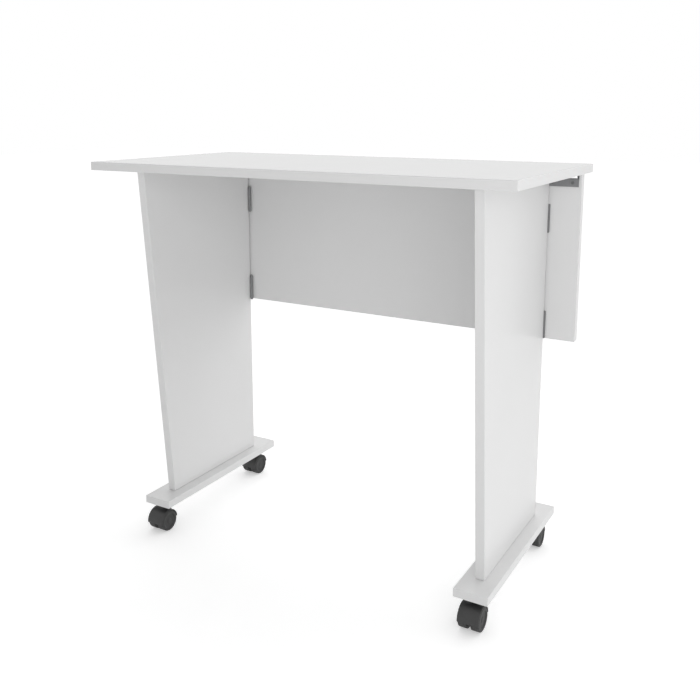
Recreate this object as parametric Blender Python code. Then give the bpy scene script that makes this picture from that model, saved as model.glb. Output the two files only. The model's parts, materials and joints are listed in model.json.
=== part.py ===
"""Folding desk on casters. Its top tips up on the back panel, and its legs fold in under the top.

Metres, +X to the right, +Y to the back, +Z up. The origin is on the floor, under the middle of the desk.
"""

import math
from collections import namedtuple

import bmesh
import bpy
from mathutils import Matrix, Vector

# Boards
TOP_WIDTH = 0.800
TOP_DEPTH = 0.400
DESK_HEIGHT = 0.725
BOARD = 0.015
LEG_BOARD = 0.016
BOARD_CHAMFER = 0.0006
LEG_INSET = 0.065
LEG_TOP_SETBACK = 0.0484
LEG_FOOT_SETBACK = 0.0969
PANEL_END_INSET = 0.0087
PANEL_HEIGHT = 0.2992
PANEL_SETBACK = 0.0213
FOOT_WIDTH = 0.059
FOOT_LENGTH = 0.3548
FOOT_PAST_LEG = 0.022
FOOT_PAST_TOP = 0.0088

# Clearances
FIT = 0.0003
RUNNING = 0.00025
TOP_SWING_GAP = 0.0008
DRILL = 0.0003

# Leg hinges, two on each leg
HINGE_LENGTH = 0.0512
HINGE_BELOW_TOP = 0.0549
HINGE_WIDTH = 0.0222
HINGE_CORNER = 0.002
HINGE_LEAF = 0.0009
KNUCKLE_RADIUS = 0.003
KNUCKLES = 5
PIN_RADIUS = 0.0015
PIN_HEAD_RADIUS = 0.0021
PIN_HEAD = 0.0018
PIN_HEAD_ROUND = 0.0008
HINGE_SCREWS = 3
HINGE_SCREW_END = 0.0075

# Top hinges, one at each end of the panel
YOKE_LENGTH = 0.053
YOKE_FROM_PANEL_END = 0.0053
YOKE_PLATE_HEIGHT = 0.0141
YOKE_STEEL = 0.0015
YOKE_SCREW_IN = 0.007
YOKE_SCREW_OUT = 0.0105
EAR_STEEL = 0.002
EAR_RADIUS = 0.0034
LUG_RADIUS = 0.0036
LUG_FOOT = 0.006
PIVOT_BELOW_TOP = 0.006
PIVOT_INSIDE_PANEL = 0.0023
RIVET_RADIUS = 0.002
RIVET_HEAD_RADIUS = 0.0032
RIVET_HEAD = 0.001
NOTCH_CLEAR = 0.0004
LEAF_REAR_MARGIN = 0.003
LEAF_FRONT = 0.0038
LEAF_SCREW_END = 0.0085

# Casters
CASTER_HEIGHT = 0.053
FRONT_CASTER_INSET = 0.026
REAR_CASTER_INSET = 0.025
CASTER_TRAIL = 0.0125
WHEEL_RADIUS = 0.020
WHEEL_HALF_WIDTH = 0.0187
WHEEL_HALF_GAP = 0.0014
WHEEL_ROUND = 0.0028
WHEEL_FACE_RECESS = 0.0018
WHEEL_RIM = 0.005
WHEEL_V_WIDTH = 0.0026
WHEEL_V_HEIGHT = 0.0074
WHEEL_CUP_WALL = 0.008
WHEEL_CUP_DEPTH = 0.009
WHEEL_HUB_RADIUS = 0.005
AXLE_RADIUS = 0.0025
AXLE_HALF_LENGTH = 0.0155
HOOD_WALL = 0.0017
HOOD_CLEAR = 0.0008
HOOD_HALF_WIDTH = 0.0184
HOOD_ROUND = 0.0015
HOOD_FRONT_DROP = 0.0018
HOOD_REAR_RISE = 0.0018
FIN_HALF = 0.001
FORK_HUB_RADIUS = 0.006
FORK_HUB_HALF = 0.0062
BOSS_RADIUS = 0.0085
STEM_RADIUS = 0.003
STEM_LENGTH = 0.009
PLATE_SIZE = 0.038
PLATE_STEEL = 0.002
PLATE_CORNER = 0.005
PLATE_SCREW_INSET = 0.006
COLLAR_RADIUS = 0.0075
COLLAR_HEIGHT = 0.001

# Screws: head radius, shank radius, depth of the head's cone, whole length
Screw = namedtuple("Screw", "head shank cone length")
HINGE_SCREW = Screw(0.0026, 0.0014, 0.0012, 0.012)
YOKE_SCREW = Screw(0.0028, 0.0015, 0.0016, 0.013)
LEAF_SCREW = Screw(0.0028, 0.0015, 0.0016, 0.011)
PLATE_SCREW = Screw(0.0030, 0.0016, 0.0018, 0.012)
FOOT_SCREW = Screw(0.0045, 0.0025, 0.003, 0.050)
FOOT_SCREW_END = 0.040

# Facets
SCREW_SIDES = 8
KNUCKLE_SIDES = 12
PIN_SIDES = 10
WHEEL_SIDES = 18
HOOD_SIDES = 24
ARC_STEPS = 6

# Heights and planes that the boards set
HALF = TOP_WIDTH / 2
FRONT = -(TOP_DEPTH + FOOT_PAST_TOP) / 2
REAR = FRONT + TOP_DEPTH
UNDER = DESK_HEIGHT - BOARD
PANEL_TOP = UNDER - TOP_SWING_GAP
PANEL_BOTTOM = PANEL_TOP - PANEL_HEIGHT
PANEL_REAR = REAR - PANEL_SETBACK
PANEL_FRONT = PANEL_REAR - BOARD
PANEL_HALF = HALF - PANEL_END_INSET
LEG_OUTER = HALF - LEG_INSET
LEG_INNER = LEG_OUTER - LEG_BOARD
LEG_MIDDLE = LEG_OUTER - LEG_BOARD / 2
LEG_REAR = PANEL_FRONT - 2 * HINGE_LEAF - 3 * FIT
FOOT_BOTTOM = CASTER_HEIGHT
FOOT_TOP = FOOT_BOTTOM + BOARD
FOOT_REAR = REAR + FOOT_PAST_TOP
FOOT_FRONT = FOOT_REAR - FOOT_LENGTH
FOOT_OUTER = LEG_OUTER + FOOT_PAST_LEG
FOOT_INNER = FOOT_OUTER - FOOT_WIDTH
FOOT_MIDDLE = FOOT_OUTER - FOOT_WIDTH / 2
LEG_BOTTOM = FOOT_TOP + FIT
LEG_TOP = UNDER - FIT

# Axes that the moving pieces turn on
LEG_PIN_X = LEG_INNER - FIT - KNUCKLE_RADIUS
LEG_PIN_Y = PANEL_FRONT - FIT - KNUCKLE_RADIUS
TOP_PIVOT_Y = PANEL_REAR - PIVOT_INSIDE_PANEL
TOP_PIVOT_Z = UNDER - PIVOT_BELOW_TOP
SWIVEL_Y = {"front": FOOT_FRONT + FRONT_CASTER_INSET, "rear": FOOT_REAR - REAR_CASTER_INSET}
HINGE_BOTTOM = {"upper": PANEL_TOP - HINGE_BELOW_TOP - HINGE_LENGTH, "lower": PANEL_BOTTOM}
SIDES = {"left": -1, "right": 1}

# Yoke and notch of the top hinges, along the panel from the middle outwards
YOKE_OUT = PANEL_HALF - YOKE_FROM_PANEL_END
YOKE_IN = YOKE_OUT - YOKE_LENGTH
FLANGE_TOP = TOP_PIVOT_Z - EAR_RADIUS - NOTCH_CLEAR
NOTCH_FLOOR = FLANGE_TOP - YOKE_STEEL - FIT

# Caster levels, above the floor
PLATE_TOP = CASTER_HEIGHT - FIT
PLATE_BOTTOM = PLATE_TOP - PLATE_STEEL
COLLAR_BOTTOM = PLATE_BOTTOM - COLLAR_HEIGHT
BOSS_TOP = COLLAR_BOTTOM - FIT
STEM_BOTTOM = BOSS_TOP - STEM_LENGTH
HOOD_INNER = WHEEL_RADIUS + HOOD_CLEAR
HOOD_RADIUS = HOOD_INNER + HOOD_WALL


def clear_scene():
    for obj in list(bpy.data.objects):
        bpy.data.objects.remove(obj, do_unlink=True)


def make_material(name, colour, roughness, metallic):
    finish = bpy.data.materials.new(name)
    finish.use_nodes = True
    shader = finish.node_tree.nodes["Principled BSDF"]
    shader.inputs["Base Color"].default_value = (*colour, 1.0)
    shader.inputs["Roughness"].default_value = roughness
    shader.inputs["Metallic"].default_value = metallic
    return finish


def arc(centre, radius, start, end, steps=ARC_STEPS):
    """Points of a round stretch, from one angle to another in degrees."""
    turns = [math.radians(start + (end - start) * i / steps) for i in range(steps + 1)]
    return [(centre[0] + radius * math.cos(t), centre[1] + radius * math.sin(t)) for t in turns]


def prism(outline, axis, low, high):
    """A flat outline carried from low to high along X, Y or Z; its points are the other two coordinates."""
    shape = bmesh.new()
    spot = "XYZ".index(axis)

    def corner(point, along):
        place = list(point)
        place.insert(spot, along)
        return shape.verts.new(place)

    ends = [[corner(point, along) for point in outline] for along in (low, high)]
    shape.faces.new(ends[0])
    shape.faces.new(reversed(ends[1]))
    for i in range(len(outline)):
        j = (i + 1) % len(outline)
        shape.faces.new((ends[0][i], ends[1][i], ends[1][j], ends[0][j]))
    bmesh.ops.recalc_face_normals(shape, faces=shape.faces)
    return shape


def block(low, high):
    outline = [(low[0], low[1]), (high[0], low[1]), (high[0], high[1]), (low[0], high[1])]
    return prism(outline, "Z", low[2], high[2])


def turned(profile, sides, direction=(0, 0, 1), at=(0, 0, 0)):
    """A profile of (radius, distance along) points spun about a direction through a place.

    A profile that starts and ends on the axis closes there. Any other closes on itself, as a ring does.
    """
    shape = bmesh.new()
    rings = []
    for radius, along in profile:
        if radius == 0:
            rings.append([shape.verts.new((0, 0, along))] * sides)
            continue
        turns = [math.tau * i / sides for i in range(sides)]
        rings.append([shape.verts.new((radius * math.cos(t), radius * math.sin(t), along)) for t in turns])
    pairs = list(zip(rings, rings[1:]))
    if profile[0][0] != 0:
        pairs.append((rings[-1], rings[0]))
    for one, two in pairs:
        for i in range(sides):
            j = (i + 1) % sides
            corners = list(dict.fromkeys((one[i], one[j], two[j], two[i])))
            shape.faces.new(corners)
    bmesh.ops.recalc_face_normals(shape, faces=shape.faces)
    turn = Vector((0, 0, 1)).rotation_difference(Vector(direction)).to_matrix().to_4x4()
    bmesh.ops.transform(shape, matrix=Matrix.Translation(at) @ turn, verts=shape.verts)
    return shape


def rod(radius, start, end, sides, direction=(0, 0, 1), at=(0, 0, 0)):
    return turned([(0, start), (radius, start), (radius, end), (0, end)], sides, direction, at)


def tube(outer, inner, start, end, sides, direction=(0, 0, 1), at=(0, 0, 0)):
    return turned([(outer, start), (outer, end), (inner, end), (inner, start)], sides, direction, at)


def as_object(name, *shapes):
    """One object from one shape, or from several shapes that lie apart."""
    mesh = bpy.data.meshes.new(name)
    whole = bmesh.new()
    for shape in shapes:
        shape.to_mesh(mesh)
        whole.from_mesh(mesh)
    whole.to_mesh(mesh)
    obj = bpy.data.objects.new(name, mesh)
    bpy.context.scene.collection.objects.link(obj)
    return obj


def combine(obj, operation, *shapes):
    """Joins the shapes to the object, or cuts them out of it."""
    tool = as_object("tool", *shapes)
    modifier = obj.modifiers.new(operation, "BOOLEAN")
    modifier.operation = operation
    modifier.object = tool
    bpy.context.view_layer.update()
    graph = bpy.context.evaluated_depsgraph_get()
    result = bpy.data.meshes.new_from_object(obj.evaluated_get(graph))
    obj.modifiers.clear()
    obj.data = result
    bpy.data.objects.remove(tool, do_unlink=True)


def join(obj, *shapes):
    combine(obj, "UNION", *shapes)


def cut(obj, *shapes):
    combine(obj, "DIFFERENCE", *shapes)


def board(name, outline, axis, low, high):
    """A board of the outline, with its edges slightly chamfered."""
    shape = prism(outline, axis, low, high)
    bmesh.ops.bevel(shape, geom=shape.edges[:], offset=BOARD_CHAMFER, segments=1, affect="EDGES")
    return as_object(name, shape)


def spaced(low, high, count):
    return [low + (high - low) * i / (count - 1) for i in range(count)]


def make_screws(label, screw, places, direction, look, carrier):
    """Countersunk screws, with the flat of each head at its place and the shank along the direction."""
    tip = screw.length - screw.shank
    profile = [(0, 0), (screw.head, 0), (screw.shank, screw.cone), (screw.shank, tip), (0, screw.length)]
    for spot, place in places.items():
        shape = turned(profile, SCREW_SIDES, direction, place)
        finish(as_object(f"{label}_screw_{spot}", shape), look, carrier)


def screw_holes(screw, places, direction):
    """The room that those screws need, open on the side of the head."""
    head = screw.head + DRILL
    shank = screw.shank + DRILL
    profile = [(0, -screw.head), (head, -screw.head), (head, 0), (shank, screw.cone)]
    profile += [(shank, screw.length), (0, screw.length + DRILL)]
    return [turned(profile, SCREW_SIDES, direction, place) for place in places]


def pivot(name, place, parent=None):
    """An empty on a joint's axis, which carries the pieces that move on it."""
    empty = bpy.data.objects.new(name, None)
    bpy.context.scene.collection.objects.link(empty)
    empty.parent = parent
    empty.location = Vector(place) - (parent.matrix_world.translation if parent else Vector())
    bpy.context.view_layer.update()
    return empty


def finish(obj, look, carrier):
    """Gives a piece its material and hangs it on its pivot, with its origin there."""
    obj.data.materials.clear()
    obj.data.materials.append(look)
    obj.data.shade_smooth()
    obj.data.set_sharp_from_angle(angle=math.radians(35))
    obj.data.transform(Matrix.Translation(-carrier.matrix_world.translation))
    obj.parent = carrier


def place_copy(name, mesh, carrier, turn=0.0):
    """A copy of a repeated piece, whose mesh is drawn about its pivot."""
    obj = bpy.data.objects.new(name, mesh)
    bpy.context.scene.collection.objects.link(obj)
    obj.parent = carrier
    obj.rotation_euler = (0, 0, turn)


def shared_mesh(obj, look):
    """Takes a finished shape's mesh for its copies, and removes the pattern object."""
    mesh = obj.data
    mesh.materials.clear()
    mesh.materials.append(look)
    mesh.shade_smooth()
    mesh.set_sharp_from_angle(angle=math.radians(35))
    bpy.data.objects.remove(obj, do_unlink=True)
    return mesh


def hinge_screw_places(name, side, y):
    bottom = HINGE_BOTTOM[name]
    heights = spaced(bottom + HINGE_SCREW_END, bottom + HINGE_LENGTH - HINGE_SCREW_END, HINGE_SCREWS)
    return [(side * LEG_MIDDLE, y, z) for z in heights]


def hinge_leaf(label, name, side, first, leaf_rear):
    """A hinge leaf: a plate with a comb of tabs, each rolled round the pin, starting at knuckle first."""
    bottom = HINGE_BOTTOM[name]
    top = bottom + HINGE_LENGTH
    pitch = HINGE_LENGTH / KNUCKLES
    axis = (side * LEG_PIN_X, LEG_PIN_Y, 0)
    bore = PIN_RADIUS + RUNNING
    plate_start = KNUCKLE_RADIUS + FIT
    tab_start = KNUCKLE_RADIUS * 0.65
    leaf_front = leaf_rear - HINGE_LEAF
    outline = [(plate_start, bottom)]
    knuckles = []
    for i in range(first, KNUCKLES, 2):
        low = bottom + i * pitch + FIT / 2
        high = low + pitch - FIT
        outline += [(plate_start, low + FIT), (tab_start, low + FIT)]
        outline += [(tab_start, high - FIT), (plate_start, high - FIT)]
        knuckles.append(tube(KNUCKLE_RADIUS, bore, low, high, KNUCKLE_SIDES, at=axis))
    outline += [(plate_start, top)]
    corner = HINGE_WIDTH - HINGE_CORNER
    outline += arc((corner, top - HINGE_CORNER), HINGE_CORNER, 90, 0, 3)
    outline += arc((corner, bottom + HINGE_CORNER), HINGE_CORNER, 0, -90, 3)
    flat = [(side * (LEG_PIN_X + out), z) for out, z in outline]
    leaf = as_object(label, prism(flat, "Y", leaf_front, leaf_rear))
    join(leaf, *knuckles)
    return leaf


def hinge_pin(name, side):
    """A hinge's pin, with a rounded head at each end of the barrel."""
    seat = (HINGE_LENGTH + FIT) / 2
    end = seat + PIN_HEAD
    head = [(PIN_RADIUS, seat), (PIN_HEAD_RADIUS, seat), (PIN_HEAD_RADIUS, end - PIN_HEAD_ROUND)]
    head += [(PIN_HEAD_RADIUS - PIN_HEAD_ROUND, end), (0, end)]
    profile = [(radius, -along) for radius, along in reversed(head)] + head
    middle = HINGE_BOTTOM[name] + HINGE_LENGTH / 2
    return turned(profile, PIN_SIDES, at=(side * LEG_PIN_X, LEG_PIN_Y, middle))


def yoke_screw_places(side):
    spots = {"inner": YOKE_IN + YOKE_SCREW_IN, "outer": YOKE_OUT - YOKE_SCREW_OUT}
    y = PANEL_FRONT - FIT - YOKE_STEEL
    return {spot: (side * x, y, FLANGE_TOP - YOKE_PLATE_HEIGHT / 2) for spot, x in spots.items()}


def leaf_screw_places(side):
    spots = {"inner": YOKE_IN + LEAF_SCREW_END, "outer": YOKE_OUT - LEAF_SCREW_END}
    y = (PANEL_REAR + REAR - LEAF_REAR_MARGIN) / 2
    return {spot: (side * x, y, UNDER - FIT - YOKE_STEEL) for spot, x in spots.items()}


def ear_spans():
    """The ears at both ends of a top hinge: each one's faces, from the desk's middle outwards."""
    return [
        (YOKE_IN + FIT, YOKE_IN + FIT + EAR_STEEL),
        (YOKE_OUT - FIT - EAR_STEEL, YOKE_OUT - FIT),
    ]


def lug_spans():
    """The lugs of the yoke, each beside an ear and nearer the middle of the hinge."""
    (_, inner_ear), (outer_ear, _) = ear_spans()
    return [
        (inner_ear + FIT, inner_ear + FIT + EAR_STEEL),
        (outer_ear - FIT - EAR_STEEL, outer_ear - FIT),
    ]


def across(side, span):
    return sorted(side * x for x in span)


def top_hinge_yoke(label, side):
    """A steel angle: a plate on the panel's front, a flange on the notch's floor, and two lugs on it."""
    plate_rear = PANEL_FRONT - FIT
    plate_front = plate_rear - YOKE_STEEL
    angle = [
        (plate_front, FLANGE_TOP - YOKE_PLATE_HEIGHT),
        (plate_rear, FLANGE_TOP - YOKE_PLATE_HEIGHT),
        (plate_rear, FLANGE_TOP - YOKE_STEEL),
        (PANEL_REAR, FLANGE_TOP - YOKE_STEEL),
        (PANEL_REAR, FLANGE_TOP),
    ]
    angle += arc((plate_rear, FLANGE_TOP - YOKE_STEEL), YOKE_STEEL, 90, 180, 3)
    yoke = as_object(label, prism(angle, "X", *across(side, (YOKE_IN, YOKE_OUT))))
    root = FLANGE_TOP - YOKE_STEEL / 2
    lug = [(TOP_PIVOT_Y - LUG_FOOT, root), (PANEL_REAR - FIT, root)]
    lug += arc((TOP_PIVOT_Y, TOP_PIVOT_Z), LUG_RADIUS, 0, 180, 2 * ARC_STEPS)
    join(yoke, *[prism(lug, "X", *across(side, span)) for span in lug_spans()])
    cut(yoke, pivot_hole(side))
    return yoke


def top_hinge_leaf(label, side):
    """A steel plate under the tabletop, with an ear hanging at each end that turns on the yoke's lug."""
    top = UNDER - FIT
    low_x, high_x = across(side, (YOKE_IN, YOKE_OUT))
    plate = block(
        (low_x, TOP_PIVOT_Y - LEAF_FRONT, top - YOKE_STEEL),
        (high_x, REAR - LEAF_REAR_MARGIN, top),
    )
    leaf = as_object(label, plate)
    root = top - YOKE_STEEL / 2
    ear = [(TOP_PIVOT_Y + EAR_RADIUS, root), (TOP_PIVOT_Y - EAR_RADIUS, root)]
    ear += arc((TOP_PIVOT_Y, TOP_PIVOT_Z), EAR_RADIUS, 180, 360, 2 * ARC_STEPS)
    join(leaf, *[prism(ear, "X", *across(side, span)) for span in ear_spans()])
    cut(leaf, pivot_hole(side))
    return leaf


def pivot_hole(side):
    at = (0, TOP_PIVOT_Y, TOP_PIVOT_Z)
    low, high = across(side, (YOKE_IN - NOTCH_CLEAR, YOKE_OUT + NOTCH_CLEAR))
    return rod(RIVET_RADIUS + RUNNING, low, high, PIN_SIDES, (1, 0, 0), at)


def rivet_shapes(side):
    """A rivet through each ear and lug, flush outside, with its head on the lug's inner side."""
    at = (0, TOP_PIVOT_Y, TOP_PIVOT_Z)
    (inner_ear, _), (_, outer_ear) = ear_spans()
    (_, inner_lug), (outer_lug, _) = lug_spans()
    shapes = {}
    for spot, ear, lug in (("inner", inner_ear, inner_lug), ("outer", outer_ear, outer_lug)):
        way = 1 if lug > ear else -1
        seat = lug + way * FIT
        profile = [
            (0, ear),
            (RIVET_RADIUS, ear),
            (RIVET_RADIUS, seat),
            (RIVET_HEAD_RADIUS, seat),
            (RIVET_HEAD_RADIUS, seat + way * RIVET_HEAD),
            (0, seat + way * RIVET_HEAD),
        ]
        shapes[spot] = turned(profile, PIN_SIDES, (side, 0, 0), at)
    return shapes


def caster_wheel():
    """One cup-shaped wheel on the +X side of the axle, drawn about the axle's middle."""
    face = WHEEL_HALF_WIDTH - WHEEL_FACE_RECESS
    rim = WHEEL_RADIUS - WHEEL_RIM
    cup = WHEEL_RADIUS - WHEEL_CUP_WALL
    cup_floor = WHEEL_HALF_GAP + WHEEL_CUP_DEPTH
    bore = AXLE_RADIUS + RUNNING
    hub_face = FORK_HUB_HALF + FIT
    profile = [(0, WHEEL_HALF_WIDTH - WHEEL_FACE_RECESS / 2)]
    profile += [(WHEEL_HUB_RADIUS, WHEEL_HALF_WIDTH - WHEEL_FACE_RECESS / 2)]
    profile += [(WHEEL_HUB_RADIUS + WHEEL_FACE_RECESS / 2, face), (rim - WHEEL_FACE_RECESS, face)]
    profile += [(rim, WHEEL_HALF_WIDTH)]
    corner = (WHEEL_RADIUS - WHEEL_ROUND, WHEEL_HALF_WIDTH - WHEEL_ROUND)
    profile += arc(corner, WHEEL_ROUND, 90, 0, 2)
    profile += [(WHEEL_RADIUS, WHEEL_HALF_GAP + WHEEL_V_WIDTH)]
    profile += [(WHEEL_RADIUS - WHEEL_V_HEIGHT, WHEEL_HALF_GAP), (cup, WHEEL_HALF_GAP)]
    profile += [(cup, cup_floor), (WHEEL_HUB_RADIUS, cup_floor), (WHEEL_HUB_RADIUS, hub_face)]
    profile += [(bore, hub_face), (bore, AXLE_HALF_LENGTH + FIT), (0, AXLE_HALF_LENGTH + FIT)]
    return as_object("wheel", turned(profile, WHEEL_SIDES, (1, 0, 0)))


def caster_hood():
    """The moulded fork of a twin wheel caster, drawn about the swivel axis at floor level.

    A hood over both wheels, a fin between them with the axle's hub, and a boss with the swivel socket.
    """
    axle = (0, -CASTER_TRAIL, WHEEL_RADIUS)
    edge = HOOD_RADIUS - HOOD_ROUND
    flat = HOOD_HALF_WIDTH - HOOD_ROUND
    cover = [(0, -HOOD_HALF_WIDTH), (edge, -HOOD_HALF_WIDTH), (HOOD_RADIUS, -flat)]
    cover += [(HOOD_RADIUS, flat), (edge, HOOD_HALF_WIDTH), (0, HOOD_HALF_WIDTH)]
    hood = as_object("hood", turned(cover, HOOD_SIDES, (1, 0, 0), axle))
    join(hood, rod(BOSS_RADIUS, WHEEL_RADIUS + FORK_HUB_RADIUS, BOSS_TOP, PIN_SIDES * 2))
    far = 2 * HOOD_RADIUS
    pockets = [rod(HOOD_INNER, FIN_HALF, far, HOOD_SIDES, (way, 0, 0), axle) for way in (1, -1)]
    cut(hood, *pockets)
    hub_low = WHEEL_RADIUS - FORK_HUB_RADIUS
    skirt = [
        (axle[1] - far, WHEEL_RADIUS - HOOD_FRONT_DROP),
        (axle[1] - FORK_HUB_RADIUS * 1.6, WHEEL_RADIUS - HOOD_FRONT_DROP),
        (axle[1] - FORK_HUB_RADIUS * 0.6, hub_low),
        (axle[1] + FORK_HUB_RADIUS * 0.6, hub_low),
        (axle[1] + FORK_HUB_RADIUS * 1.6, WHEEL_RADIUS + HOOD_REAR_RISE / 2),
        (axle[1] + HOOD_RADIUS, WHEEL_RADIUS + HOOD_REAR_RISE),
        (axle[1] + far, WHEEL_RADIUS + HOOD_REAR_RISE),
        (axle[1] + far, WHEEL_RADIUS - far),
        (axle[1] - far, WHEEL_RADIUS - far),
    ]
    cut(hood, prism(skirt, "X", -far, far))
    join(hood, rod(FORK_HUB_RADIUS, -FORK_HUB_HALF, FORK_HUB_HALF, PIN_SIDES * 2, (1, 0, 0), axle))
    cut(
        hood,
        rod(AXLE_RADIUS + FIT, -far, far, PIN_SIDES, (1, 0, 0), axle),
        rod(STEM_RADIUS + RUNNING, STEM_BOTTOM - FIT, BOSS_TOP + far, PIN_SIDES),
    )
    return hood


def caster_plate():
    """The mounting plate, its bearing collar and swivel stem, drawn about the swivel axis at floor level."""
    inset = PLATE_SIZE / 2 - PLATE_CORNER
    outline = []
    for i, (x, y) in enumerate(((inset, inset), (-inset, inset), (-inset, -inset), (inset, -inset))):
        outline += arc((x, y), PLATE_CORNER, 90 * i, 90 * i + 90, 2)
    plate = as_object("plate", prism(outline, "Z", PLATE_BOTTOM, PLATE_TOP))
    seat = PLATE_BOTTOM + PLATE_STEEL / 2
    spindle = [(0, seat), (COLLAR_RADIUS, seat), (COLLAR_RADIUS, COLLAR_BOTTOM)]
    spindle += [(STEM_RADIUS, COLLAR_BOTTOM), (STEM_RADIUS, STEM_BOTTOM), (0, STEM_BOTTOM)]
    join(plate, turned(spindle, PIN_SIDES))
    cut(plate, *screw_holes(PLATE_SCREW, plate_screw_places((0, 0)), (0, 0, 1)))
    return plate


def plate_screw_places(swivel):
    reach = PLATE_SIZE / 2 - PLATE_SCREW_INSET
    return [(swivel[0] + i * reach, swivel[1] + j * reach, PLATE_BOTTOM) for i in (-1, 1) for j in (-1, 1)]


def foot_screw_places(side):
    spots = {"front": FRONT + LEG_FOOT_SETBACK + FOOT_SCREW_END, "rear": LEG_REAR - FOOT_SCREW_END}
    return {spot: (side * LEG_MIDDLE, y, FOOT_BOTTOM) for spot, y in spots.items()}


def make_panel(looks, root):
    """The back panel with its notches, and what it carries: hinge leaves, pins, yokes and their screws."""
    outline = [(-PANEL_HALF, PANEL_BOTTOM), (PANEL_HALF, PANEL_BOTTOM)]
    outline += [(PANEL_HALF, PANEL_TOP), (-PANEL_HALF, PANEL_TOP)]
    panel = board("back_panel", outline, "Y", PANEL_FRONT, PANEL_REAR)
    into = (0, 1, 0)
    notches = []
    holes = []
    leaf_rear = PANEL_FRONT - FIT
    for label, side in SIDES.items():
        low_x, high_x = across(side, (YOKE_IN - NOTCH_CLEAR, YOKE_OUT + NOTCH_CLEAR))
        notch_low = (low_x, PANEL_FRONT - BOARD, NOTCH_FLOOR)
        notches.append(block(notch_low, (high_x, PANEL_REAR + BOARD, DESK_HEIGHT)))
        for name in HINGE_BOTTOM:
            leaf = hinge_leaf(f"{label}_{name}_hinge_panel_leaf", name, side, 0, leaf_rear)
            places = hinge_screw_places(name, side, leaf_rear - HINGE_LEAF)
            cut(leaf, *screw_holes(HINGE_SCREW, places, into))
            finish(leaf, looks["steel"], root)
            finish(as_object(f"{label}_{name}_hinge_pin", hinge_pin(name, side)), looks["steel"], root)
        yoke = top_hinge_yoke(f"{label}_top_hinge_yoke", side)
        places = yoke_screw_places(side)
        yoke_holes = screw_holes(YOKE_SCREW, places.values(), into)
        cut(yoke, *yoke_holes)
        finish(yoke, looks["steel"], root)
        make_screws(f"{label}_yoke", YOKE_SCREW, places, into, looks["zinc"], root)
        holes += yoke_holes
        for spot, rivet in rivet_shapes(side).items():
            finish(as_object(f"{label}_top_hinge_rivet_{spot}", rivet), looks["steel"], root)
    cut(panel, *notches)
    cut(panel, *holes)
    finish(panel, looks["board"], root)


def make_top(looks, root):
    """The tabletop and the hinge leaves under its rear edge, on the pivot that it tips up on."""
    carrier = pivot("tabletop_pivot", (0, TOP_PIVOT_Y, TOP_PIVOT_Z), root)
    outline = [(-HALF, FRONT), (HALF, FRONT), (HALF, REAR), (-HALF, REAR)]
    top = board("tabletop", outline, "Z", UNDER, DESK_HEIGHT)
    up = (0, 0, 1)
    for label, side in SIDES.items():
        leaf = top_hinge_leaf(f"{label}_top_hinge_leaf", side)
        places = leaf_screw_places(side)
        holes = screw_holes(LEAF_SCREW, places.values(), up)
        cut(leaf, *holes)
        cut(top, *holes)
        finish(leaf, looks["steel"], carrier)
        make_screws(f"{label}_leaf", LEAF_SCREW, places, up, looks["zinc"], carrier)
    finish(top, looks["board"], carrier)


def make_leg(label, side, looks, root, caster_parts):
    """One leg with its foot, hinge leaves, screws and casters, on the pin that it folds about."""
    carrier = pivot(f"{label}_leg_pivot", (side * LEG_PIN_X, LEG_PIN_Y, 0), root)
    outline = [
        (FRONT + LEG_FOOT_SETBACK, LEG_BOTTOM),
        (LEG_REAR, LEG_BOTTOM),
        (LEG_REAR, LEG_TOP),
        (FRONT + LEG_TOP_SETBACK, LEG_TOP),
    ]
    leg = board(f"{label}_leg_board", outline, "X", *across(side, (LEG_INNER, LEG_OUTER)))
    low_x, high_x = across(side, (FOOT_INNER, FOOT_OUTER))
    outline = [(low_x, FOOT_FRONT), (high_x, FOOT_FRONT), (high_x, FOOT_REAR), (low_x, FOOT_REAR)]
    foot = board(f"{label}_foot_board", outline, "Z", FOOT_BOTTOM, FOOT_TOP)

    leaf_rear = LEG_REAR + FIT + HINGE_LEAF
    for name in HINGE_BOTTOM:
        leaf = hinge_leaf(f"{label}_{name}_hinge_leg_leaf", name, side, 1, leaf_rear)
        cut(leaf, *screw_holes(HINGE_SCREW, hinge_screw_places(name, side, leaf_rear), (0, -1, 0)))
        finish(leaf, looks["steel"], carrier)

    up = (0, 0, 1)
    places = foot_screw_places(side)
    holes = screw_holes(FOOT_SCREW, places.values(), up)
    make_screws(f"{label}_foot", FOOT_SCREW, places, up, looks["zinc"], carrier)
    cut(leg, *holes)
    finish(leg, looks["board"], carrier)
    cut(foot, *holes)
    finish(foot, looks["board"], carrier)

    for end, y in SWIVEL_Y.items():
        make_caster(f"{end}_{label}", side, (side * FOOT_MIDDLE, y), carrier, caster_parts)


def make_caster(label, side, swivel, leg, parts):
    """A caster: its plate stays with the leg, its hood swivels, and its two wheels turn on the axle."""
    x, y = swivel
    plate = pivot(f"{label}_caster_seat", (x, y, 0), leg)
    place_copy(f"{label}_caster_plate", parts["plate"], plate)
    turning = pivot(f"{label}_caster_swivel", (x, y, 0), leg)
    place_copy(f"{label}_caster_hood", parts["hood"], turning)
    axle = pivot(f"{label}_caster_axle_pivot", (x, y - CASTER_TRAIL, WHEEL_RADIUS), turning)
    place_copy(f"{label}_caster_axle", parts["axle"], axle)
    place_copy(f"{label}_caster_outer_wheel", parts["wheel"], axle, 0 if side > 0 else math.pi)
    place_copy(f"{label}_caster_inner_wheel", parts["wheel"], axle, math.pi if side > 0 else 0)


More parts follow.
